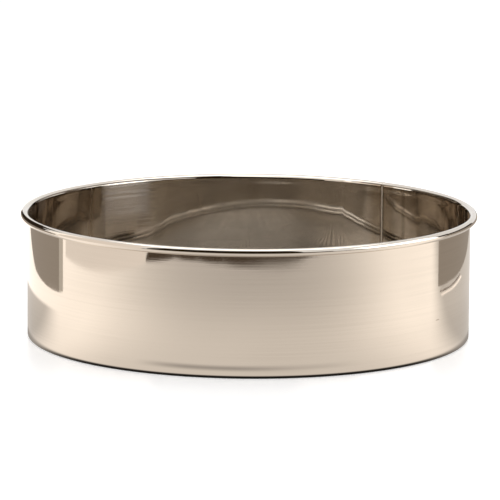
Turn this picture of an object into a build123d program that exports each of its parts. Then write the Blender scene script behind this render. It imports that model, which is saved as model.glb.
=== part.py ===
"""Round sieve: a polished hoop with a curled rim, a woven wire cloth near its foot and the ring that holds it.

Millimetres, +Z up. The origin is the centre of the foot, in the plane that the sieve stands on.
"""

import os
from math import acos, asin, cos, degrees, hypot, pi, sin, sqrt

from build123d import *

# Hoop: one strip of sheet, rolled round and butt-welded
wall_diameter = 300.0  # outside of the straight wall
overall_height = 86.0  # from the foot to the top of the rim
sheet = 0.6  # thickness of the strip

# Rim: the top edge, curled outwards into a hollow tube
curl_diameter = 5.2  # outside of the tube
curl_gap = 0.15  # between the curl's cut edge and the wall

# Foot: the lower edge, turned in to a narrow flat lip
foot_bend = 1.4  # inner radius of the turn
foot_lip = 1.4  # flat width of the lip

# Weld: a narrow bead up the inside of the hoop, and a notch where the curl's ends meet
seam_angle = 51.2  # degrees round from +X
seam_width = 1.4
seam_rise = 0.25  # how far the bead stands proud of the wall
seam_clearance = 0.8  # left between the bead's lower end and the ring
notch_width = 0.8
notch_depth = 0.25

# Wire cloth: one wall, ridged along X above and along Y below, and open between its ridges
cloth_top = 10.3  # of its upper ridges, above the foot
cloth_thickness = 1.26  # two wires lying across each other
edge_thickness = 0.9  # of the edge, turned up and pressed flat between the ring and the wall
edge_height = 6.0  # from the wall of the cloth up to the cut edge
edge_gap = 0.1  # left on both sides of the turned edge
web_thickness = 0.46  # of the wall between the ridges
ridge_pitch = 6.0
ridge_foot = 1.8  # width of a ridge where it leaves the wall
ridge_crest = 0.7  # width of a ridge along its top
ridge_inset = 1.6  # how far a ridge's corners stop short of the cloth's edge
opening_side = 3.0
opening_every = 4  # ridges from one opening to the next: an even number puts each one between ridges
opening_margin = 9.6  # least distance from an opening's corner to the cloth's edge

# Retaining ring: a strip with rounded ribs, bent round with its ends nearly meeting, pressed into the cloth's edge
ring_web = 0.7  # thickness of the strip behind its ribs
rib_height = 2.8  # of each rib, up the strip
rib_bulge = 0.5  # how far a rib stands out from the strip
rib_count = 2
ring_joint = 0.6  # gap between the ring's ends
ring_joint_angle = 231.2  # degrees round from +X

inner_radius = wall_diameter / 2 - sheet
curl_radius = curl_diameter / 2
curl_height = overall_height - curl_radius  # of the tube's centre, where the straight wall ends
cloth_radius = inner_radius - edge_gap
cloth_middle = cloth_top - cloth_thickness / 2
ring_radius = cloth_radius - edge_thickness - edge_gap
ring_top = cloth_top + rib_count * rib_height


def flats(centre, radius, start, end, count):
    """Corners of a bend that is pressed as `count` flats, from one direction to another about its centre."""
    turns = [start + (end - start) * i / count for i in range(count + 1)]
    return [(centre[0] + radius * cos(t), centre[1] + radius * sin(t)) for t in turns]


def hoop_face(shift):
    """One face of the rolled strip in section, from the foot's lip to the curl's cut edge.

    A shift of 0 is the inner face and a shift of `sheet` the outer one. Each bend keeps its centre.
    """
    lip = inner_radius - foot_bend - foot_lip
    foot_centre = (inner_radius - foot_bend, sheet + foot_bend)
    curl_centre = (inner_radius + curl_radius, curl_height)
    curl_end = acos((sheet + curl_gap - curl_radius) / curl_radius)
    return [
        (lip, sheet - shift),
        *flats(foot_centre, foot_bend + shift, -pi / 2, 0, 3),
        *flats(curl_centre, curl_radius - shift, pi, -curl_end, 7),
    ]


def make_hoop():
    section = Polyline(*hoop_face(0), *reversed(hoop_face(sheet)), close=True)
    return revolve(Plane.XZ * make_face(section), Axis.Z) + weld_bead() - curl_notch()


def weld_bead():
    """The bead along the butt weld, rooted in the wall, from just above the ring up to the curl."""
    root = inner_radius + sheet / 2
    side = seam_width / 2
    crest = ThreePointArc((inner_radius, -side), (inner_radius - seam_rise, 0), (inner_radius, side))
    back = Polyline((inner_radius, side), (root, side), (root, -side), (inner_radius, -side))
    start = ring_top + seam_clearance
    bead = extrude(Plane.XY.offset(start) * make_face([crest, back]), curl_height - start)
    return Rot(0, 0, seam_angle) * bead


def curl_notch():
    """The shallow gap across the curl where its two ends meet."""
    centre = (inner_radius + curl_radius, curl_height)
    shell = Pos(*centre) * (Circle(curl_radius + notch_depth) - Circle(curl_radius - notch_depth))
    reach = degrees(notch_width / centre[0])
    cut = revolve(Plane.XZ * shell, Axis.Z, reach)
    above_wall = extrude(Plane.XY.offset(curl_height) * Circle(wall_diameter), curl_diameter)
    return Rot(0, 0, seam_angle - reach / 2) * (cut & above_wall)


def ridge(length):
    """A ridge along X, standing on the plane z = 0 with its foot."""
    rise = (cloth_thickness - web_thickness) / 2
    half_foot, half_crest = ridge_foot / 2, ridge_crest / 2
    section = Polyline((-half_foot, 0), (half_foot, 0), (half_crest, rise), (-half_crest, rise), close=True)
    return Pos(-length / 2, 0, 0) * extrude(Plane.YZ * make_face(section), length)


def make_web():
    """The cloth's wall and its turned edge, with a square opening in every few meshes."""
    web = Circle(cloth_radius)
    step = ridge_pitch * opening_every
    reach = int(cloth_radius / step) + 1
    centres = [(i + 0.5) * step for i in range(-reach, reach)]
    for x in centres:
        for y in centres:
            corner = hypot(abs(x) + opening_side / 2, abs(y) + opening_side / 2)
            if corner < cloth_radius - opening_margin:
                web -= Pos(x, y) * Rectangle(opening_side, opening_side)
    edge = Circle(cloth_radius) - Circle(cloth_radius - edge_thickness)
    return extrude(web, web_thickness / 2, both=True) + extrude(edge, edge_height)


def make_cloth():
    end_radius = cloth_radius - ridge_inset
    ridges = []
    for i in range(int(end_radius / ridge_pitch)):
        off = (i + 0.5) * ridge_pitch
        bar = ridge(2 * sqrt(end_radius**2 - (off + ridge_foot / 2) ** 2))
        for side in (-off, off):
            warp = Pos(0, side, web_thickness / 2) * bar
            weft = Pos(side, 0, -web_thickness / 2) * (Rot(180, 0, 0) * (Rot(0, 0, 90) * bar))
            ridges += [warp, weft]
    return Pos(0, 0, cloth_middle) * (make_web() + ridges)


def make_ring():
    front = ring_radius - ring_web
    rib_radius = (rib_height**2 / 4 + rib_bulge**2) / (2 * rib_bulge)
    half_turn = asin(rib_height / 2 / rib_radius)
    corners = [(ring_radius, ring_top), (ring_radius, cloth_top)]
    for i in range(rib_count):
        centre = (front - rib_bulge + rib_radius, cloth_top + (i + 0.5) * rib_height)
        corners += flats(centre, rib_radius, pi + half_turn, pi - half_turn, 3)[i > 0 :]
    joint = degrees(ring_joint / ring_radius)
    ring = revolve(Plane.XZ * make_face(Polyline(*corners, close=True)), Axis.Z, 360 - joint)
    return Rot(0, 0, ring_joint_angle + joint / 2) * ring


os.makedirs("parts", exist_ok=True)
export_step(make_hoop(), "parts/hoop.step")
export_step(make_cloth(), "parts/wire_mesh.step")
export_step(make_ring(), "parts/retaining_ring.step")
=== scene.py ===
import math

import bpy
from mathutils import Euler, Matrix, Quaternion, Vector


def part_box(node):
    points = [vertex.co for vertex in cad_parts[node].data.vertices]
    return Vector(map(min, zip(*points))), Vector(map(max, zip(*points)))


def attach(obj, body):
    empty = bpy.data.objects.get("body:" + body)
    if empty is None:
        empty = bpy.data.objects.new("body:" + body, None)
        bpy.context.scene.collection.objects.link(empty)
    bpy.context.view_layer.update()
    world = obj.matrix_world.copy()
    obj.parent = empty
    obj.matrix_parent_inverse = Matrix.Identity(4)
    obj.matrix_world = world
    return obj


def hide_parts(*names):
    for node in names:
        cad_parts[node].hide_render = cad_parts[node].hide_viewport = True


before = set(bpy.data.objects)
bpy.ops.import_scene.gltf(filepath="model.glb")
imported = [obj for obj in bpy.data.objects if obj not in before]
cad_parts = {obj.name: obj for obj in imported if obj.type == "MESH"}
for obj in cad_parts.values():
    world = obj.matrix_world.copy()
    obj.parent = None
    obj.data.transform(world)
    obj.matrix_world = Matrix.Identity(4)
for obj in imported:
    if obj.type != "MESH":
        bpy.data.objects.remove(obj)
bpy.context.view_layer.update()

# ---------------------------------------------------------------------------------------------------
# Camera
# A long lens three metres off, ten degrees above the sieve, so that the bowl is seen over its near rim.
# Light is followed through many mirrorings, since the bowl's two ends mirror each other again and again.
# ---------------------------------------------------------------------------------------------------
scene = bpy.context.scene
scene.view_settings.view_transform = "Standard"
mirrorings = 32
scene.cycles.max_bounces = mirrorings
scene.cycles.glossy_bounces = mirrorings
aim_height = 0.043
camera_distance = 2.9416
camera_pitch = math.radians(10.45)
camera_roll = math.radians(0.41)

lens = bpy.data.cameras.new("camera")
lens.sensor_width = 36.0
lens.lens = 311.8
lens.shift_x, lens.shift_y = 0.003, 0.0439
lens.clip_end = 60.0
camera = bpy.data.objects.new("camera", lens)
camera.location = (
    0.0,
    -camera_distance * math.cos(camera_pitch),
    aim_height + camera_distance * math.sin(camera_pitch),
)
tilt = Euler((math.pi / 2 - camera_pitch, 0.0, 0.0)).to_quaternion()
camera.rotation_euler = (tilt @ Quaternion((0.0, 0.0, 1.0), camera_roll)).to_euler()
scene.collection.objects.link(camera)
scene.camera = camera

# ---------------------------------------------------------------------------------------------------
# White room
# Light comes softly from all round, and whatever looks straight at the room or sees it mirrored
# finds it white.
# ---------------------------------------------------------------------------------------------------


def figure(nodes, links, operation, *terms):
    """A sum worked out by a node, each of its terms a number or another node's result."""
    node = nodes.new("ShaderNodeMath")
    node.operation = operation
    for socket, term in zip(node.inputs, terms):
        if isinstance(term, float):
            socket.default_value = term
        else:
            links.new(term, socket)
    return node.outputs[0]


def fade(nodes, links, value, start, end, low, high):
    """Goes smoothly from low to high as the value goes from start to end."""
    node = nodes.new("ShaderNodeMapRange")
    node.interpolation_type = "SMOOTHSTEP"
    for name, number in zip(("From Min", "From Max", "To Min", "To Max"), (start, end, low, high)):
        node.inputs[name].default_value = number
    links.new(value, node.inputs["Value"])
    return node.outputs["Result"]


def looks_at_background(nodes, links):
    """1 for the rays that look at a background straight, in a mirror or through glass."""
    path = nodes.new("ShaderNodeLightPath")
    straight_or_mirrored = figure(
        nodes, links, "MAXIMUM", path.outputs["Is Camera Ray"], path.outputs["Is Glossy Ray"]
    )
    return figure(nodes, links, "MAXIMUM", straight_or_mirrored, path.outputs["Is Transmission Ray"])


room = bpy.data.worlds.new("white_room")
scene.world = room
room.use_nodes = True
nodes, links = room.node_tree.nodes, room.node_tree.links
nodes.clear()
room_light = nodes.new("ShaderNodeBackground")
daylight = (0.96, 0.97, 1.0, 1.0)
room_light.inputs["Color"].default_value = daylight
room_light.inputs["Strength"].default_value = 0.45
room_seen = nodes.new("ShaderNodeBackground")
room_seen.inputs["Color"].default_value = (1.0, 1.0, 1.0, 1.0)
room_seen.inputs["Strength"].default_value = 1.0
room_mix = nodes.new("ShaderNodeMixShader")
room_out = nodes.new("ShaderNodeOutputWorld")
links.new(looks_at_background(nodes, links), room_mix.inputs[0])
links.new(room_light.outputs[0], room_mix.inputs[1])
links.new(room_seen.outputs[0], room_mix.inputs[2])
links.new(room_mix.outputs[0], room_out.inputs["Surface"])

# ---------------------------------------------------------------------------------------------------
# Table
# A satin white board that keeps the sieve's soft shadow. The polished wall mirrors the part of it round
# the foot, which mirrors see as a glow with painted light and shade: painted brightest at the sides,
# painted shade behind the two flags, and a painted contact shadow right under the foot.
# ---------------------------------------------------------------------------------------------------


def settle():
    """Makes the active object's placing part of its mesh."""
    bpy.ops.object.transform_apply(location=True, rotation=True, scale=True)


table_width = 9.0
table_middle = (0.0, 1.5, 0.0)
bpy.ops.object.select_all(action="DESELECT")
bpy.ops.mesh.primitive_plane_add(size=table_width, location=table_middle)
table = bpy.context.object
table.name = "table"
settle()
table_white = bpy.data.materials.new("table_white")
table_white.use_nodes = True
nodes, links = table_white.node_tree.nodes, table_white.node_tree.links
board = nodes["Principled BSDF"]
board.inputs["Base Color"].default_value = (0.80, 0.79, 0.775, 1.0)
board.inputs["Roughness"].default_value = 0.35
board.inputs["Emission Color"].default_value = (1.0, 1.0, 1.0, 1.0)
board_glow = figure(nodes, links, "MULTIPLY", looks_at_background(nodes, links), 0.45)
links.new(board_glow, board.inputs["Emission Strength"])


def split_place(nodes, links, place):
    """A place's three coordinates."""
    node = nodes.new("ShaderNodeSeparateXYZ")
    links.new(place, node.inputs[0])
    return node.outputs["X"], node.outputs["Y"], node.outputs["Z"]


def lessen(nodes, links, level, share):
    """Takes a share off a level."""
    return figure(nodes, links, "MULTIPLY", level, figure(nodes, links, "SUBTRACT", 1.0, share))


def product(nodes, links, first, *others):
    """Any number of terms multiplied together."""
    for term in others:
        first = figure(nodes, links, "MULTIPLY", first, term)
    return first


def side_of_line(nodes, links, across, along, line):
    """How far a place lies behind a line over the table, set by its three factors."""
    by_across, by_along, offset = line
    part = figure(nodes, links, "MULTIPLY_ADD", across, by_across, offset)
    return figure(nodes, links, "ADD", part, figure(nodes, links, "MULTIPLY", along, by_along))


# Where a place lies: across, along and away from the foot's centre, and how far it is to the front
places = nodes.new("ShaderNodeTexCoord").outputs["Object"]
across, along, _ = split_place(nodes, links, places)
distance = nodes.new("ShaderNodeVectorMath")
distance.operation = "LENGTH"
links.new(places, distance.inputs[0])
away = distance.outputs["Value"]
frontness = figure(nodes, links, "DIVIDE", figure(nodes, links, "MULTIPLY", along, -1.0), away)
frontness = figure(nodes, links, "MAXIMUM", frontness, 0.0)

# Painted light: brighter to the sides than in front, and falling off away from the sieve
side_level, front_level = 1.46, 0.86
level = fade(nodes, links, frontness, 0.30, 1.0, side_level, front_level)
far_fall = fade(nodes, links, away, 0.24, 0.50, 0.0, 0.25)
level = lessen(nodes, links, level, product(nodes, links, far_fall, frontness))
side_fall = fade(nodes, links, away, 0.16, 0.30, 0.14, 0.0)
level = lessen(nodes, links, level, lessen(nodes, links, side_fall, frontness))

# The flags' soft shade behind a line on each side, with a gleam left open by the left flag
left_line = side_of_line(nodes, links, across, along, (0.417, 0.908, 0.1284))
right_line = side_of_line(nodes, links, across, along, (-0.328, 0.945, 0.1247))
behind = figure(nodes, links, "MINIMUM", left_line, right_line)
flag_dark = 0.48
flag_fall = fade(nodes, links, behind, -0.005, 0.065, 0.0, flag_dark)
on_left = figure(nodes, links, "LESS_THAN", across, 0.0)
left_gleam = product(nodes, links, fade(nodes, links, away, 0.258, 0.274, 0.0, 1.0), on_left)
level = lessen(nodes, links, level, lessen(nodes, links, flag_fall, left_gleam))

# Painted shade: a faint shadow band in front of the foot, the foot's own dark line of contact shadow,
# and the table's dim far end
band_middle, band_reach = 0.1835, 0.013
band_off = figure(nodes, links, "ABSOLUTE", figure(nodes, links, "SUBTRACT", away, band_middle))
painted_shadow_band = product(
    nodes, links,
    fade(nodes, links, band_off, 0.0, band_reach, 0.45, 0.0),
    fade(nodes, links, frontness, 0.80, 0.96, 0.0, 1.0),
    fade(nodes, links, across, -0.02, 0.06, 1.0, 0.4),
)
level = lessen(nodes, links, level, painted_shadow_band)
painted_foot_shadow = fade(nodes, links, away, 0.1532, 0.1605, 0.97, 0.0)
more_in_front = fade(nodes, links, frontness, 0.0, 0.75, 0.45, 1.0)
level = lessen(nodes, links, level, product(nodes, links, painted_foot_shadow, more_in_front))
far_end = fade(nodes, links, away, 0.64, 0.76, 0.0, 0.93)
only_in_front = fade(nodes, links, frontness, 0.0, 0.3, 0.0, 1.0)
level = lessen(nodes, links, level, product(nodes, links, far_end, only_in_front))

# What mirrors see of the table: a glow that carries the painted light and shade above
painted_mirror_glow = nodes.new("ShaderNodeEmission")
painted_mirror_glow.inputs["Color"].default_value = (1.0, 0.931, 0.86, 1.0)
links.new(level, painted_mirror_glow.inputs["Strength"])
path = nodes.new("ShaderNodeLightPath")
either = nodes.new("ShaderNodeMixShader")
links.new(path.outputs["Is Glossy Ray"], either.inputs[0])
links.new(board.outputs[0], either.inputs[1])
links.new(painted_mirror_glow.outputs[0], either.inputs[2])
links.new(either.outputs[0], nodes["Material Output"].inputs["Surface"])
table.data.materials.append(table_white)

# ---------------------------------------------------------------------------------------------------
# Cards and lamps
# Boards that only mirrors see stand round the sieve: the dark end of the room in front, a pale screen on
# the left, a grey flag on each side with dark boards behind it, and a pale ceiling. Three soft lamps
# light the table.
# ---------------------------------------------------------------------------------------------------


def card(name, corners, shade):
    """A flat board through its corners that only mirrors see."""
    bpy.ops.object.select_all(action="DESELECT")
    bpy.ops.mesh.primitive_circle_add(vertices=len(corners), radius=1.0, fill_type="NGON")
    board = bpy.context.object
    board.name = name
    for vertex, corner in zip(board.data.vertices, corners):
        vertex.co = corner
    paint = bpy.data.materials.new(name + "_paint")
    paint.use_nodes = True
    nodes, links = paint.node_tree.nodes, paint.node_tree.links
    nodes.clear()
    dull = nodes.new("ShaderNodeEmission")
    dull.inputs["Color"].default_value = (*shade, 1.0)
    out = nodes.new("ShaderNodeOutputMaterial")
    links.new(dull.outputs[0], out.inputs["Surface"])
    board.data.materials.append(paint)
    board.visible_camera = False
    board.visible_shadow = False
    board.visible_diffuse = False


def upright(name, foot_a, foot_b, height, shade, low=0.0):
    """A board that stands between two points, on the table or hung low above it."""
    card(name, ((*foot_a, low), (*foot_b, low), (*foot_b, height), (*foot_a, height)), shade)


room_shade = (0.078, 0.055, 0.036)
table_edge = [
    (-0.395, -0.368), (-0.308, -0.478), (-0.21, -0.525), (-0.106, -0.549),
    (0.08, -0.55), (0.269, -0.518), (0.9, -0.36),
]
just_above = 0.001
floor_corners = [*table_edge, (3.0, -4.0), (-3.0, -4.0)]
card("dark_floor", [(x, y, just_above) for x, y in floor_corners], room_shade)
upright("dark_room", (-4.4, -3.6), (1.8, -3.6), 5.6, (0.02, 0.013, 0.006))
upright("dark_corner", (1.8, -3.6), (3.2, -3.6), 0.75, room_shade)
upright("pale_screen", (-0.393, -0.370), (-0.481, 0.036), 0.5, (1.02, 0.93, 0.85))
card("ceiling", ((-1.0, 0.3, 3.0), (1.0, 0.3, 3.0), (1.0, 3.2, 3.0), (-1.0, 3.2, 3.0)), (0.80, 0.76, 0.70))
# Two strips on the table by the right flag's foot, seen only in mirrors: a painted shadow line and a painted
# line of light
flag_foot = [(0.338, 0.029), (0.334, 0.057), (0.3265, 0.087), (0.319, 0.125), (0.309, 0.172)]
for name, near, wide, shade in (
    ("dark_line", 0.0, 0.005, (0.22, 0.17, 0.13)),
    ("bright_line", -0.011, 0.009, (1.40, 1.27, 1.15)),
):
    outer = [(x + near, y, just_above) for x, y in flag_foot]
    card(name, [*outer, *((x - wide, y, z) for x, y, z in reversed(outer))], shade)
flag_shade = (0.383, 0.333, 0.283)
far_shade = (0.12, 0.09, 0.07)
black_shade = (0.03, 0.02, 0.013)
flag_height = 0.09
upright("left_flag", (-0.333, 0.016), (-0.304, 0.19), flag_height, flag_shade)
upright("left_flag_far", (-0.304, 0.19), (-0.33, 0.60), flag_height, flag_shade)
upright("left_flag_edge", (-0.333, 0.016), (-0.343, 0.001), flag_height, (0.64, 0.587, 0.514))
upright("left_dark", (-0.46, 0.25), (-0.32, 0.80), 0.42, far_shade)
upright("left_dark_top", (-0.455, 0.25), (-0.315, 0.80), 0.43, black_shade, 0.09)
upright("left_dark_near", (-0.53, 0.18), (-0.455, 0.25), 0.25, black_shade, 0.09)
upright("left_white", (-0.60, -0.08), (-0.60, 0.20), 0.55, (1.60, 1.50, 1.38), 0.15)
upright("right_flag", (0.362, 0.032), (0.345, 0.102), flag_height, flag_shade)
upright("right_flag_middle", (0.345, 0.102), (0.282, 0.306), flag_height, flag_shade)
upright("right_flag_far", (0.282, 0.306), (0.225, 0.60), flag_height, flag_shade)
upright("right_dark", (0.43, 0.10), (0.36, 0.33), 0.155, far_shade)
upright("right_dark_top", (0.425, 0.10), (0.355, 0.33), 0.17, black_shade, 0.088)
upright("right_dark_near", (0.47, 0.03), (0.425, 0.10), 0.20, black_shade, 0.088)


def softbox(name, place, aim, width, height, power):
    """A rectangular soft lamp that the camera doesn't see."""
    lamp = bpy.data.lights.new(name, "AREA")
    lamp.shape = "RECTANGLE"
    lamp.size = width
    lamp.size_y = height
    lamp.energy = power
    holder = bpy.data.objects.new(name, lamp)
    holder.location = place
    holder.rotation_euler = Euler(aim)
    holder.visible_camera = False
    scene.collection.objects.link(holder)


lamp_power = 9.0
lean_in = math.radians(75)
softbox("top_lamp", (0.0, 0.25, 1.5), (0.0, 0.0, 0.0), 1.6, 1.2, lamp_power)
softbox("left_lamp", (-1.5, -0.3, 0.6), (0.0, -lean_in, 0.0), 1.0, 1.4, lamp_power)
softbox("right_lamp", (1.5, -0.3, 0.6), (0.0, lean_in, 0.0), 1.0, 1.4, lamp_power)

# ---------------------------------------------------------------------------------------------------
# Hoop
# A strip of thin stainless sheet, mirror polished, rolled round and butt-welded. Its top edge is curled
# outwards into a hollow tube, and its foot is turned in to a narrow lip that it stands on.
# ---------------------------------------------------------------------------------------------------
sheet = 0.0006
wall_radius = 0.1494
foot_bend = 0.0014
foot_lip = 0.0014
curl_radius = 0.0026
curl_gap = 0.00015
curl_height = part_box("hoop")[1].z - curl_radius
steps_round = 360
sharp_corner = math.radians(40)


def start_round(name, radius, height):
    """A ring of edges, from which a turned piece is drawn."""
    bpy.ops.object.select_all(action="DESELECT")
    bpy.ops.mesh.primitive_circle_add(vertices=steps_round, radius=radius, location=(0.0, 0.0, height))
    piece = bpy.context.object
    piece.name = name
    settle()
    bpy.ops.object.mode_set(mode="EDIT")
    bpy.ops.mesh.select_all(action="SELECT")
    return piece


def draw_round(start, points):
    """Extrudes the selected ring of edges through a run of (radius, height) points."""
    radius, height = start
    for next_radius, next_height in points:
        rise = (0.0, 0.0, next_height - height)
        spread = next_radius / radius
        bpy.ops.mesh.extrude_region_move(TRANSFORM_OT_translate={"value": rise})
        bpy.ops.transform.resize(value=(spread, spread, 1.0), center_override=(0.0, 0.0, 0.0))
        radius, height = next_radius, next_height


def close_mesh():
    """Turns every face of the mesh being edited outwards, and ends the editing."""
    bpy.ops.mesh.select_all(action="SELECT")
    bpy.ops.mesh.normals_make_consistent(inside=False)
    bpy.ops.object.mode_set(mode="OBJECT")


def bend(centre, radius, first, last, steps):
    """Points of a bend in section, from one direction to another about its centre, in degrees."""
    turns = [math.radians(first + (last - first) * step / steps) for step in range(steps + 1)]
    return [(centre[0] + radius * math.cos(turn), centre[1] + radius * math.sin(turn)) for turn in turns]


lip_edge = (wall_radius - foot_bend - foot_lip, sheet)
foot = bend((wall_radius - foot_bend, sheet + foot_bend), foot_bend, -90, 0, 8)
straight = [(wall_radius, foot[-1][1] + sheet), (wall_radius, curl_height - sheet)]
curl_end = math.degrees(math.acos((sheet + curl_gap - curl_radius) / curl_radius))
curl = bend((wall_radius + curl_radius, curl_height), curl_radius, 180, -curl_end, 30)
hoop = start_round("hoop_shell", *lip_edge)
draw_round(lip_edge, foot + straight + curl)
close_mesh()
thickness = hoop.modifiers.new("sheet", "SOLIDIFY")
thickness.thickness = sheet
thickness.offset = -1.0
thickness.use_even_offset = True
bpy.ops.object.modifier_apply(modifier="sheet")
bpy.ops.object.shade_smooth_by_angle(angle=sharp_corner)


def effect(name, takes, gives):
    """An empty shader node group with named numbers in and out. Its vector is the place on the piece."""
    group = bpy.data.node_groups.new(name, "ShaderNodeTree")
    group.interface.new_socket("Place", in_out="INPUT", socket_type="NodeSocketVector")
    for label in takes:
        group.interface.new_socket(label, in_out="INPUT", socket_type="NodeSocketFloat")
    for label in gives:
        group.interface.new_socket(label, in_out="OUTPUT", socket_type="NodeSocketFloat")
    ends = group.nodes.new("NodeGroupInput"), group.nodes.new("NodeGroupOutput")
    return group, group.nodes, group.links, ends[0].outputs, ends[1].inputs


def speckle(nodes, links, place, stretch, detail):
    """Noise from 0 to 1 on a place that is stretched a different way along each axis."""
    stretched = nodes.new("ShaderNodeMapping")
    stretched.inputs["Scale"].default_value = stretch
    links.new(place, stretched.inputs["Vector"])
    noise = nodes.new("ShaderNodeTexNoise")
    noise.inputs["Scale"].default_value = 1.0
    noise.inputs["Detail"].default_value = detail
    links.new(stretched.outputs[0], noise.inputs["Vector"])
    return noise.outputs["Fac"]


def place_effect(nodes, links, group, place, **numbers):
    """Puts a group into a material with the material's own numbers."""
    node = nodes.new("ShaderNodeGroup")
    node.node_tree = group
    links.new(place, node.inputs["Place"])
    for label, number in numbers.items():
        node.inputs[label].default_value = number
    return node.outputs


def mix_colour(nodes, links, share, first, second):
    """Goes from one colour to another by a share."""
    node = nodes.new("ShaderNodeMix")
    node.data_type = "RGBA"
    links.new(share, node.inputs["Factor"])
    for socket, colour in ((node.inputs["A"], first), (node.inputs["B"], second)):
        if isinstance(colour, tuple):
            socket.default_value = (*colour, 1.0)
        else:
            links.new(colour, socket)
    return node.outputs["Result"]


def bumps(nodes, links, height, normal_socket):
    """Feeds a height in metres to a shader's normal."""
    node = nodes.new("ShaderNodeBump")
    node.inputs["Strength"].default_value = 1.0
    node.inputs["Distance"].default_value = 1.0
    links.new(height, node.inputs["Height"])
    links.new(node.outputs[0], normal_socket)


# Hairlines that polishing leaves along the strip, in patches
polish_lines, nodes, links, takes, gives = effect("polish_lines", ["Depth"], ["Height", "Lines"])
hairlines = speckle(nodes, links, takes["Place"], (9.0, 9.0, 2600.0), 3.0)
patches = speckle(nodes, links, takes["Place"], (14.0, 14.0, 22.0), 1.0)
patches = fade(nodes, links, patches, 0.38, 0.66, 0.25, 1.0)
lines = figure(nodes, links, "MULTIPLY", fade(nodes, links, hairlines, 0.35, 0.75, 0.0, 1.0), patches)
bands = speckle(nodes, links, takes["Place"], (6.0, 6.0, 760.0), 2.0)
bands = figure(nodes, links, "MULTIPLY", fade(nodes, links, bands, 0.35, 0.70, 0.0, 1.0), patches)
links.new(figure(nodes, links, "MULTIPLY_ADD", lines, 0.4, bands), gives["Lines"])
links.new(figure(nodes, links, "MULTIPLY", lines, takes["Depth"]), gives["Height"])

# Haze and small prints left by hands, and a slow change of tone
handling, nodes, links, takes, gives = effect("handling", ["Amount"], ["Haze", "Tone"])
cloudy = speckle(nodes, links, takes["Place"], (16.0, 16.0, 20.0), 4.0)
prints = speckle(nodes, links, takes["Place"], (75.0, 75.0, 90.0), 2.0)
haze = figure(
    nodes, links, "MAXIMUM",
    fade(nodes, links, cloudy, 0.45, 0.75, 0.0, 1.0), fade(nodes, links, prints, 0.58, 0.72, 0.0, 0.6),
)
links.new(figure(nodes, links, "MULTIPLY", haze, takes["Amount"]), gives["Haze"])
slow = speckle(nodes, links, takes["Place"], (7.0, 7.0, 9.0), 2.0)
links.new(fade(nodes, links, slow, 0.3, 0.7, 0.0, 1.0), gives["Tone"])

# Waves left in the sheet by rolling it round
sheet_waves, nodes, links, takes, gives = effect("sheet_waves", ["Broad", "Narrow"], ["Height"])
broad = speckle(nodes, links, takes["Place"], (16.0, 16.0, 12.0), 1.0)
broad = figure(nodes, links, "MULTIPLY", broad, takes["Broad"])
narrow = speckle(nodes, links, takes["Place"], (75.0, 75.0, 14.0), 1.5)
links.new(figure(nodes, links, "MULTIPLY_ADD", narrow, takes["Narrow"], broad), gives["Height"])

# Nicks and rubbing along an edge that lies at one level
edge_wear, nodes, links, takes, gives = effect("edge_wear", ["Level", "Width"], ["Wear"])
_, _, up = split_place(nodes, links, takes["Place"])
off = figure(nodes, links, "ABSOLUTE", figure(nodes, links, "SUBTRACT", up, takes["Level"]))
near_edge = figure(nodes, links, "SUBTRACT", 1.0, figure(nodes, links, "DIVIDE", off, takes["Width"]))
near_edge = figure(nodes, links, "MAXIMUM", near_edge, 0.0)
nicks = speckle(nodes, links, takes["Place"], (260.0, 260.0, 500.0), 3.0)
nicks = fade(nodes, links, nicks, 0.42, 0.64, 0.0, 1.0)
links.new(figure(nodes, links, "MULTIPLY", near_edge, nicks), gives["Wear"])


def round_the_wall(nodes, links, turn, points):
    """A value set at each azimuth in points, in degrees clockwise from the back, and 0.5 past the sides."""
    curve = nodes.new("ShaderNodeFloatCurve")
    drawn = curve.mapping.curves[0]
    drawn.points[0].location = (0.0, 0.5)
    drawn.points[1].location = (1.0, 0.5)
    for azimuth, value in points:
        drawn.points.new(azimuth / 180 + 0.5, value)
    curve.mapping.update()
    links.new(turn, curve.inputs["Value"])
    return curve.outputs[0]


def bare_metal(name):
    """A new metal material, with its nodes, its links and its shader."""
    material = bpy.data.materials.new(name)
    material.use_nodes = True
    shader = material.node_tree.nodes["Principled BSDF"]
    shader.inputs["Metallic"].default_value = 1.0
    return material, material.node_tree.nodes, material.node_tree.links, shader


polished_steel, nodes, links, steel = bare_metal("polished_steel")

# Where a place lies: inside the wall or out, and how far round, from 0 at the left through 0.5 at the back
places = nodes.new("ShaderNodeTexCoord").outputs["Object"]
across, along, up = split_place(nodes, links, places)
level_place = nodes.new("ShaderNodeCombineXYZ")
links.new(across, level_place.inputs["X"])
links.new(along, level_place.inputs["Y"])
off_axis = nodes.new("ShaderNodeVectorMath")
off_axis.operation = "LENGTH"
links.new(level_place.outputs[0], off_axis.inputs[0])
inside = fade(nodes, links, off_axis.outputs["Value"], 0.1495, 0.1499, 1.0, 0.0)
turned = figure(nodes, links, "ARCTAN2", across, along)
turned = figure(nodes, links, "MULTIPLY_ADD", turned, 1 / math.pi, 0.5)

# The wall isn't quite true inside: how far it leans at each azimuth, in degrees
wall_leans = [
    (-60, -0.9), (-45, -1.6), (-32, -1.65), (-25, -1.2), (-20.5, -0.7), (-16, -0.44), (-11, -0.23),
    (-3, 0.0), (9, 0.21), (18, 0.33), (24, 0.34), (27, 0.12), (32, -0.3), (37.5, -0.64), (43, -0.85),
    (60, -0.5),
]
lean_range = 2.0
lean_points = [(azimuth, degrees / (2 * lean_range) + 0.5) for azimuth, degrees in wall_leans]
lean = round_the_wall(nodes, links, turned, lean_points)
lean = figure(nodes, links, "SUBTRACT", lean, 0.5)
lean = figure(nodes, links, "MULTIPLY", lean, 2 * lean_range * math.radians(1.0))
lean_height = product(nodes, links, lean, up, inside)

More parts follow.
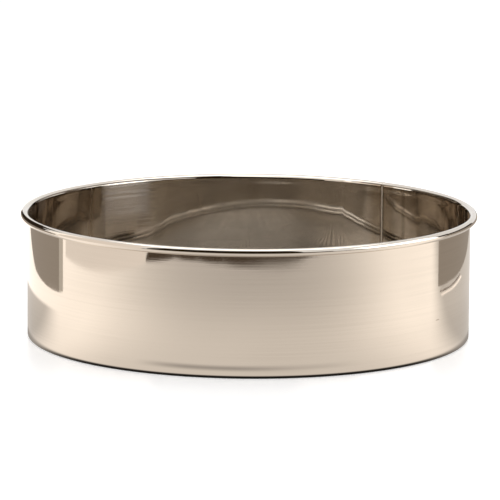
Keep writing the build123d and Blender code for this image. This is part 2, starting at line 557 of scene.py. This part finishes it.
# Broad waves in the sheet, mostly inside, with short upright flutes towards the two sides
waves = place_effect(nodes, links, sheet_waves, places, Broad=0.00022, Narrow=0.00002)["Height"]
waves = product(nodes, links, waves, fade(nodes, links, inside, 0.0, 1.0, 0.12, 1.0))
side = figure(nodes, links, "ABSOLUTE", figure(nodes, links, "SUBTRACT", turned, 0.5))
flute_depth = 0.00010
flutes = speckle(nodes, links, level_place.outputs[0], (110.0, 110.0, 1.0), 1.0)
flutes = product(nodes, links, flutes, fade(nodes, links, side, 0.24, 0.36, 0.0, flute_depth))
waves = figure(nodes, links, "MULTIPLY_ADD", flutes, inside, waves)

# A patch inside, high up on the left of the back, is rubbed dull and coarse along the strip
dull = product(
    nodes, links,
    fade(nodes, links, turned, 0.252, 0.262, 0.0, 1.0),
    fade(nodes, links, turned, 0.335, 0.365, 1.0, 0.0),
    inside,
    fade(nodes, links, up, 0.046, 0.064, 0.0, 1.0),
)
coarse_depth = 0.00011
coarse = speckle(nodes, links, places, (12.0, 12.0, 520.0), 2.5)
coarse = product(nodes, links, coarse, dull, coarse_depth)

# Curling the rim drew the wall in and out a little just below it
draw_depth = 0.00012
drawn_in = speckle(nodes, links, level_place.outputs[0], (18.0, 18.0, 1.0), 1.0)
top_wave = product(nodes, links, fade(nodes, links, up, 0.0785, 0.0825, 0.0, draw_depth), inside, drawn_in)

# All that bends what the wall mirrors, hairlines last
polish = place_effect(nodes, links, polish_lines, places, Depth=0.0000009)
hairline_height = product(nodes, links, polish["Height"], fade(nodes, links, inside, 0.0, 1.0, 1.0, 0.3))
height = lean_height
for more in (waves, coarse, top_wave, hairline_height):
    height = figure(nodes, links, "ADD", height, more)
bumps(nodes, links, height, steel.inputs["Normal"])

# Roughness: haze, the dull patch, worn edges and hairlines on a mirror finish
marks = place_effect(nodes, links, handling, places, Amount=0.035)
foot_wear = place_effect(nodes, links, edge_wear, places, Level=0.0004, Width=0.0022)["Wear"]
rim_wear = place_effect(nodes, links, edge_wear, places, Level=0.0862, Width=0.0014)["Wear"]
wear = figure(nodes, links, "MAXIMUM", foot_wear, rim_wear)
mirror_roughness = 0.03
rough = figure(nodes, links, "ADD", marks["Haze"], mirror_roughness)
for mark, added in ((dull, 0.18), (wear, 0.20), (polish["Lines"], 0.02)):
    rough = figure(nodes, links, "MULTIPLY_ADD", mark, added, rough)
links.new(rough, steel.inputs["Roughness"])

# Painted reflections: lighter and darker stretches round the inside, by azimuth, for what the wall
# mirrors; then the slow change of tone
painted_wall_reflections = [
    (-80, 0.8), (-66, 0.9), (-58, 0.55), (-50, 0.75), (-47, 0.62), (-45.4, 0.24), (-43.4, 0.22),
    (-42.4, 0.7), (-38, 0.8), (-30, 0.78), (-27, 0.65), (-23.5, 0.3), (-16, 0.42), (-8, 0.33), (10, 0.28),
    (22, 0.3), (29, 0.5), (32, 0.42), (34.5, 0.32), (37.5, 0.3), (45, 0.42), (52, 0.5), (58, 0.75),
    (68, 1.0), (80, 1.0),
]
tone = round_the_wall(nodes, links, turned, painted_wall_reflections)
tone = figure(nodes, links, "MULTIPLY_ADD", figure(nodes, links, "SUBTRACT", tone, 0.5), inside, 0.5)
tone = figure(nodes, links, "MULTIPLY_ADD", marks["Tone"], -0.06, figure(nodes, links, "ADD", tone, 0.03))
skin = mix_colour(nodes, links, tone, (0.46, 0.41, 0.35), (0.92, 0.85, 0.77))

# Welding left a warm tint beside the weld, widened here into a painted dark reflection, and a painted
# shade along the undercut at its edges
weld_angle = math.radians(51.2)
seam_turn = round(1 - weld_angle / math.pi, 4)
off_seam = figure(nodes, links, "ABSOLUTE", figure(nodes, links, "SUBTRACT", turned, seam_turn))
heat_tint_and_painted_reflection = product(nodes, links, fade(nodes, links, off_seam, 0.013, 0.027, 1.0, 0.0), inside)
undercut_shade = product(nodes, links, fade(nodes, links, off_seam, 0.0014, 0.0044, 1.0, 0.0), inside)
skin = mix_colour(nodes, links, heat_tint_and_painted_reflection, skin, (0.52, 0.445, 0.36))
skin = mix_colour(nodes, links, undercut_shade, skin, (0.20, 0.15, 0.11))

# A small flat nick outside at the front on the right, and the hairlines' grey
nick_flatness = 5.0
nick_place = (0.1252, -0.0826, 0.027 * nick_flatness)
stretched = nodes.new("ShaderNodeVectorMath")
stretched.operation = "MULTIPLY"
links.new(places, stretched.inputs[0])
stretched.inputs[1].default_value = (1.0, 1.0, nick_flatness)
from_nick = nodes.new("ShaderNodeVectorMath")
from_nick.operation = "DISTANCE"
links.new(stretched.outputs[0], from_nick.inputs[0])
from_nick.inputs[1].default_value = nick_place
nick = fade(nodes, links, from_nick.outputs["Value"], 0.0014, 0.0030, 0.6, 0.0)
skin = mix_colour(nodes, links, nick, skin, (0.30, 0.26, 0.21))
brushed = figure(nodes, links, "MULTIPLY", polish["Lines"], 0.075)
links.new(mix_colour(nodes, links, brushed, skin, (0.42, 0.38, 0.33)), steel.inputs["Base Color"])
hoop.data.materials.clear()
hoop.data.materials.append(polished_steel)
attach(hoop, "root")
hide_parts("hoop")

# ---------------------------------------------------------------------------------------------------
# Weld
# The strip's ends meet in a butt weld, ground flush outside. Inside, its low rounded bead runs up the
# wall to the curl, where the ends are left a little apart.
# ---------------------------------------------------------------------------------------------------
weld_width = 0.0014
weld_rise = 0.00025
weld_foot = 0.0167
gap_width = 0.0008
gap_depth = 0.00025
cutter_radius = curl_radius + sheet / 12
curl_middle = (wall_radius + curl_radius, -gap_width / 2, curl_height)

bpy.ops.object.select_all(action="DESELECT")
bpy.ops.mesh.primitive_circle_add(
    vertices=48, radius=cutter_radius, location=curl_middle, rotation=(math.pi / 2, 0.0, 0.0)
)
cutter = bpy.context.object
settle()
bpy.ops.object.mode_set(mode="EDIT")
bpy.ops.mesh.select_all(action="SELECT")
bpy.ops.mesh.extrude_edges_move(TRANSFORM_OT_translate={"value": (0.0, 0.0, 0.0)})
shrink = (curl_radius - gap_depth) / cutter_radius
bpy.ops.transform.resize(value=(shrink, 1.0, shrink), center_override=curl_middle)
bpy.ops.mesh.select_all(action="SELECT")
bpy.ops.mesh.extrude_region_move(TRANSFORM_OT_translate={"value": (0.0, gap_width, 0.0)})
close_mesh()
cutter.rotation_euler = (0.0, 0.0, weld_angle)
settle()
bpy.ops.object.select_all(action="DESELECT")
bpy.context.view_layer.objects.active = hoop
hoop.select_set(True)
gap = hoop.modifiers.new("gap", "BOOLEAN")
gap.operation = "DIFFERENCE"
gap.solver = "EXACT"
gap.object = cutter
bpy.ops.object.modifier_apply(modifier="gap")
bpy.ops.object.shade_smooth_by_angle(angle=sharp_corner)
bpy.data.objects.remove(cutter)

weld_start = (wall_radius, 0.0, weld_foot)
bpy.ops.object.select_all(action="DESELECT")
bpy.ops.mesh.primitive_circle_add(vertices=16, radius=weld_width / 2, location=weld_start)
weld = bpy.context.object
weld.name = "weld_bead"
settle()
bpy.ops.object.mode_set(mode="EDIT")
bpy.ops.mesh.select_all(action="SELECT")
bpy.ops.transform.resize(value=(2 * weld_rise / weld_width, 1.0, 1.0), center_override=weld_start)
weld_runs = 48
swell_share = 0.10
swell_beat = 2.4
rise = (curl_height - weld_foot) / weld_runs
for run in range(weld_runs):
    swell = 1.0 + swell_share * math.sin(run * swell_beat)
    before = 1.0 + swell_share * math.sin((run - 1) * swell_beat)
    bpy.ops.mesh.extrude_region_move(TRANSFORM_OT_translate={"value": (0.0, 0.0, rise)})
    bpy.ops.transform.resize(value=(1.0, swell / before, 1.0), center_override=(wall_radius, 0.0, 0.0))
bpy.ops.mesh.select_all(action="SELECT")
bpy.ops.mesh.fill_holes(sides=16)
close_mesh()
weld.rotation_euler = (0.0, 0.0, weld_angle)
settle()
bpy.ops.object.shade_smooth_by_angle(angle=sharp_corner)

weld_steel, nodes, links, bead_metal = bare_metal("weld_steel")
places = nodes.new("ShaderNodeTexCoord").outputs["Object"]
ripple = speckle(nodes, links, places, (60.0, 60.0, 900.0), 2.0)
ripple_depth = 0.00006
bumps(nodes, links, figure(nodes, links, "MULTIPLY", ripple, ripple_depth), bead_metal.inputs["Normal"])
marks = place_effect(nodes, links, handling, places, Amount=0.15)
bead_roughness = 0.34
links.new(figure(nodes, links, "ADD", marks["Haze"], bead_roughness), bead_metal.inputs["Roughness"])
skin = mix_colour(nodes, links, ripple, (0.86, 0.80, 0.72), (0.72, 0.63, 0.52))
links.new(skin, bead_metal.inputs["Base Color"])
weld.data.materials.clear()
weld.data.materials.append(weld_steel)
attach(weld, "root")
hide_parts("hoop")

# ---------------------------------------------------------------------------------------------------
# Wire cloth
# Round stainless wire, woven over one and under one. Each wire is crimped where it crosses the others.
# ---------------------------------------------------------------------------------------------------
wire = 0.00063
wire_step = 0.00181
cloth_top = 0.0103
cloth_middle = cloth_top - wire
cloth_radius = 0.1486
wave = wire / 2
shortest_wire = 3 * wire_step
runs = int(cloth_radius / wire_step) + 1


def copies(piece, count, step, joined):
    """Repeats a mesh along a step, and joins the copies where their ends meet."""
    row = piece.modifiers.new("row", "ARRAY")
    row.count = count
    row.use_relative_offset = False
    row.use_constant_offset = True
    row.constant_offset_displace = step
    row.use_merge_vertices = joined
    row.merge_threshold = wire / 20
    bpy.ops.object.modifier_apply(modifier="row")


def cut_to_round(piece):
    """Cuts each wire off at the cloth's round edge and closes its ends."""
    bpy.ops.object.mode_set(mode="EDIT")
    bpy.ops.mesh.select_all(action="DESELECT")
    bpy.ops.object.mode_set(mode="OBJECT")
    for vertex in piece.data.vertices:
        off = round(vertex.co.y / wire_step) * wire_step
        reach = math.sqrt(max(cloth_radius**2 - off**2, 0.0))
        crossings = math.ceil(reach / wire_step)
        past = abs(vertex.co.x) - reach
        vertex.select = reach < shortest_wire or abs(vertex.co.x) > crossings * wire_step + wire / 4
        if not vertex.select and past > 0:
            crest = wave if (crossings + round(off / wire_step)) % 2 == 0 else -wave
            vertex.co.z -= 2 * crest * past / wire_step
            vertex.co.x = math.copysign(reach, vertex.co.x)
    bpy.ops.object.mode_set(mode="EDIT")
    bpy.ops.mesh.delete(type="VERT")
    bpy.ops.mesh.select_all(action="SELECT")
    bpy.ops.mesh.fill_holes(sides=4)
    close_mesh()


def weave_wires(name, turned):
    """All the wires that run one way, crimped in turn up and down."""
    bpy.ops.object.select_all(action="DESELECT")
    corner = -runs * wire_step
    start = (corner, corner, cloth_middle + wave)
    bpy.ops.mesh.primitive_circle_add(
        vertices=4, radius=wire / 2, location=start, rotation=(0.0, math.pi / 2, 0.0)
    )
    piece = bpy.context.object
    piece.name = name
    settle()
    bpy.ops.object.mode_set(mode="EDIT")
    bpy.ops.mesh.select_all(action="SELECT")
    bpy.ops.mesh.extrude_region_move(TRANSFORM_OT_translate={"value": (wire_step, 0.0, -2 * wave)})
    bpy.ops.mesh.extrude_region_move(TRANSFORM_OT_translate={"value": (wire_step, 0.0, 2 * wave)})
    bpy.ops.object.mode_set(mode="OBJECT")
    copies(piece, runs + 1, (2 * wire_step, 0.0, 0.0), True)
    copies(piece, 2, (-wire_step, wire_step, 0.0), False)
    copies(piece, runs + 1, (0.0, 2 * wire_step, 0.0), False)
    cut_to_round(piece)
    if turned:
        bpy.ops.object.mode_set(mode="EDIT")
        bpy.ops.mesh.select_all(action="SELECT")
        bpy.ops.transform.rotate(value=math.pi / 2, orient_axis="Z", center_override=(0.0, 0.0, 0.0))
        bpy.ops.transform.rotate(value=math.pi, orient_axis="X", center_override=(0.0, 0.0, cloth_middle))
        bpy.ops.object.mode_set(mode="OBJECT")
    bpy.ops.object.shade_smooth()
    return piece


wire_steel, nodes, links, bright_wire = bare_metal("wire_steel")
places = nodes.new("ShaderNodeTexCoord").outputs["Object"]
_, _, up = split_place(nodes, links, places)
crest = fade(nodes, links, up, cloth_middle + 0.00015, cloth_middle + 0.0006, 0.0, 1.0)
one_way = speckle(nodes, links, places, (5.0, 620.0, 1.0), 1.0)
other_way = speckle(nodes, links, places, (620.0, 5.0, 1.0), 1.0)
drawn = fade(nodes, links, figure(nodes, links, "ADD", one_way, other_way), 0.75, 1.25, 0.0, 1.0)
marks = place_effect(nodes, links, handling, places, Amount=0.10)
scratches = speckle(nodes, links, places, (2400.0, 2400.0, 2400.0), 2.0)
scratch_depth = 0.000012
bumps(nodes, links, figure(nodes, links, "MULTIPLY", scratches, scratch_depth), bright_wire.inputs["Normal"])
rough = figure(nodes, links, "MULTIPLY_ADD", crest, -0.10, 0.32)
links.new(figure(nodes, links, "ADD", rough, marks["Haze"]), bright_wire.inputs["Roughness"])
skin = mix_colour(nodes, links, drawn, (0.38, 0.345, 0.30), (0.50, 0.46, 0.41))
links.new(mix_colour(nodes, links, crest, skin, (0.58, 0.54, 0.485)), bright_wire.inputs["Base Color"])
for wires in (weave_wires("warp_wires", False), weave_wires("weft_wires", True)):
    wires.data.materials.clear()
    wires.data.materials.append(wire_steel)
    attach(wires, "root")
    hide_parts("wire_mesh")

# ---------------------------------------------------------------------------------------------------
# Turned edge of the cloth
# All round, the cloth is bent up and pressed flat between the ring and the wall.
# ---------------------------------------------------------------------------------------------------
edge_back = 0.1493
edge_thickness = 0.0009
edge_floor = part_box("wire_mesh")[0].z + 0.0002
edge_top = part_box("wire_mesh")[1].z
edge_turn = 0.0012
edge_reach = 0.0022

edge_start = (edge_back - edge_reach, edge_floor)
edge_bend = bend((edge_back - edge_turn, edge_floor + edge_turn), edge_turn, -90, 0, 6)
edge_run = edge_bend + [(edge_back, edge_top)]
edge = start_round("turned_edge", *edge_start)
draw_round(edge_start, edge_run)
close_mesh()
thickness = edge.modifiers.new("cloth", "SOLIDIFY")
thickness.thickness = edge_thickness
thickness.offset = -1.0
bpy.ops.object.modifier_apply(modifier="cloth")
bpy.ops.object.shade_smooth_by_angle(angle=sharp_corner)

pressed_cloth, nodes, links, flat_cloth = bare_metal("pressed_cloth")
places = nodes.new("ShaderNodeTexCoord").outputs["Object"]
across, along, up = split_place(nodes, links, places)
round_way = figure(nodes, links, "ARCTAN2", along, across)
wire_pairs_round = 260.0
round_way = figure(nodes, links, "SINE", figure(nodes, links, "MULTIPLY", round_way, wire_pairs_round))
upright_way = figure(nodes, links, "MULTIPLY", up, math.pi / wire_step)
weave = figure(nodes, links, "MULTIPLY", round_way, figure(nodes, links, "SINE", upright_way))
weave_depth = 0.00022
bumps(nodes, links, figure(nodes, links, "MULTIPLY", weave, weave_depth), flat_cloth.inputs["Normal"])
# The weave's hollows are painted darker than its crowns: painted shade between the wires
weave = fade(nodes, links, weave, -0.7, 0.7, 0.0, 1.0)
marks = place_effect(nodes, links, handling, places, Amount=0.12)
links.new(figure(nodes, links, "ADD", marks["Haze"], 0.30), flat_cloth.inputs["Roughness"])
skin = mix_colour(nodes, links, weave, (0.22, 0.20, 0.17), (0.52, 0.48, 0.43))
links.new(skin, flat_cloth.inputs["Base Color"])
edge.data.materials.clear()
edge.data.materials.append(pressed_cloth)
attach(edge, "root")
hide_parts("wire_mesh")

# ---------------------------------------------------------------------------------------------------
# Retaining ring
# A strip with two rounded ribs, bent round until its ends nearly meet and pressed in above the cloth.
# ---------------------------------------------------------------------------------------------------
ring_back = 0.1483
ring_web = 0.1476
rib_height = 0.0028
rib_bulge = 0.0005
rib_radius = (rib_height**2 / 4 + rib_bulge**2) / (2 * rib_bulge)
rib_turn = math.degrees(math.asin(rib_height / 2 / rib_radius))
rib_middle = ring_web - rib_bulge + rib_radius

lower_centre = (rib_middle, cloth_top + 0.5 * rib_height)
upper_centre = (rib_middle, cloth_top + 1.5 * rib_height)
lower_rib = bend(lower_centre, rib_radius, 180 + rib_turn, 180 - rib_turn, 10)
upper_rib = bend(upper_centre, rib_radius, 180 + rib_turn, 180 - rib_turn, 10)
ribs = lower_rib + upper_rib[1:]
ring_start = (ring_back, cloth_top)
ring = start_round("ribbed_ring", *ring_start)
draw_round(ring_start, ribs + [(ring_back, ribs[-1][1]), ring_start])
bpy.ops.mesh.select_all(action="SELECT")
bpy.ops.mesh.remove_doubles(threshold=sheet / 20)
bpy.ops.mesh.select_all(action="DESELECT")
bpy.ops.object.mode_set(mode="OBJECT")

# The joint: one step of the ring is taken out, and the two ends are drawn up to each other
ring_joint = 0.0006
ring_joint_angle = math.radians(231.2)
one_step = 2 * math.pi / steps_round
ring.rotation_euler = (0.0, 0.0, (ring_joint_angle - one_step / 2) % one_step)
settle()
joint_line = Quaternion((0.0, 0.0, 1.0), -ring_joint_angle)
for face in ring.data.polygons:
    seen = joint_line @ face.center
    face.select = abs(math.atan2(seen.y, seen.x)) < 0.3 * one_step
bpy.ops.object.mode_set(mode="EDIT")
bpy.ops.mesh.delete(type="FACE")
bpy.ops.object.mode_set(mode="OBJECT")
for vertex in ring.data.vertices:
    seen = joint_line @ vertex.co
    turn = math.atan2(seen.y, seen.x)
    if abs(turn) < 0.8 * one_step:
        close = math.copysign(ring_joint / 2 / ring_back, turn) - turn
        vertex.co = Quaternion((0.0, 0.0, 1.0), close) @ vertex.co
bpy.ops.object.mode_set(mode="EDIT")
bpy.ops.mesh.select_all(action="SELECT")
bpy.ops.mesh.fill_holes(sides=0)
close_mesh()
bpy.ops.object.shade_smooth_by_angle(angle=sharp_corner)

ring_steel, nodes, links, strip_steel = bare_metal("ring_steel")
places = nodes.new("ShaderNodeTexCoord").outputs["Object"]
polish = place_effect(nodes, links, polish_lines, places, Depth=0.0000012)
marks = place_effect(nodes, links, handling, places, Amount=0.03)
wear = place_effect(nodes, links, edge_wear, places, Level=0.0161, Width=0.0009)["Wear"]
bumps(nodes, links, polish["Height"], strip_steel.inputs["Normal"])
rough = figure(nodes, links, "ADD", marks["Haze"], 0.03)
rough = figure(nodes, links, "MULTIPLY_ADD", polish["Lines"], 0.02, rough)
links.new(figure(nodes, links, "MULTIPLY_ADD", wear, 0.2, rough), strip_steel.inputs["Roughness"])
skin = mix_colour(nodes, links, marks["Tone"], (0.66, 0.61, 0.55), (0.61, 0.56, 0.49))
_, _, up = split_place(nodes, links, places)
# Painted shade in the groove at the ring's foot on the cloth and in the groove between its two ribs
for groove, reach in ((cloth_top, 0.0007), (cloth_top + rib_height, 0.0008)):
    off = figure(nodes, links, "ABSOLUTE", figure(nodes, links, "SUBTRACT", up, groove))
    groove_shade = fade(nodes, links, off, 0.0002, reach, 1.0, 0.0)
    skin = mix_colour(nodes, links, groove_shade, skin, (0.13, 0.105, 0.08))
links.new(mix_colour(nodes, links, wear, skin, (0.50, 0.46, 0.41)), strip_steel.inputs["Base Color"])
ring.data.materials.clear()
ring.data.materials.append(ring_steel)
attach(ring, "root")
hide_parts("retaining_ring")
